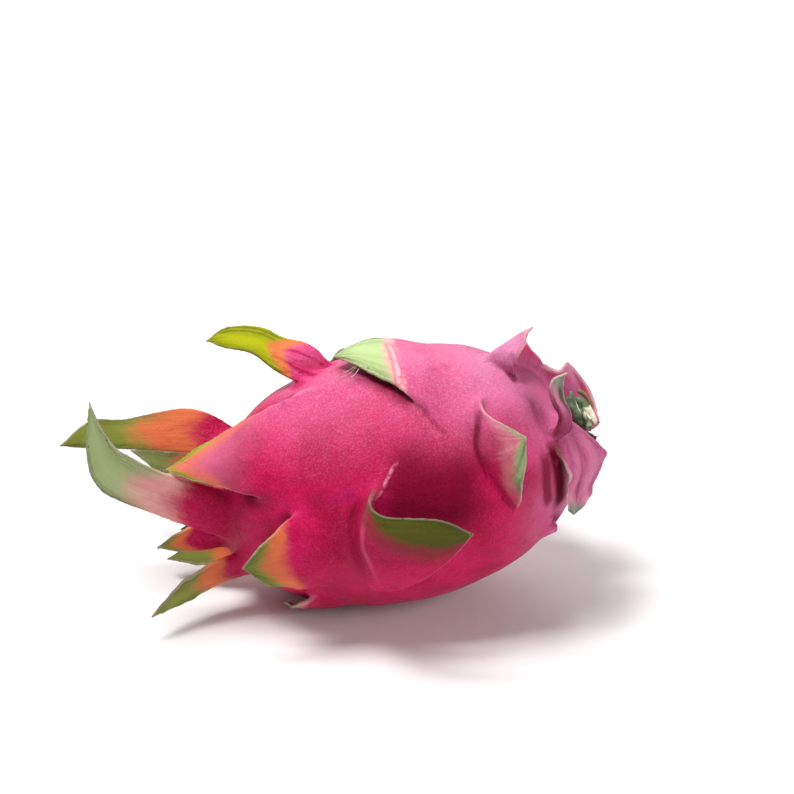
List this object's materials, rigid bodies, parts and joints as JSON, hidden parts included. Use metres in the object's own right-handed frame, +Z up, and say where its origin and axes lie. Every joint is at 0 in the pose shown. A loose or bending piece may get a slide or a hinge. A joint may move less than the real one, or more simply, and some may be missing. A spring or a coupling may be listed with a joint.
{
  "type": "dragon fruit",
  "caption": "Whole red dragon fruit lying on its side, with leafy green-tipped scales and a short cut stem.",
  "frame": {"origin": "centre of the small flat spot that the fruit rests on", "axes": "+X towards the stem end, with the crown leaves at -X; -Y towards the viewer; +Z up"},
  "size_m": [0.1836, 0.0986, 0.0968],
  "materials": {
    "fruit_skin": "waxy satin",
    "stem_flesh": "matt, cut"
  },
  "bodies": {
    "root": {"fruit": "fruit_skin", "stem_stub": "stem_flesh"}
  },
  "joints": []
}
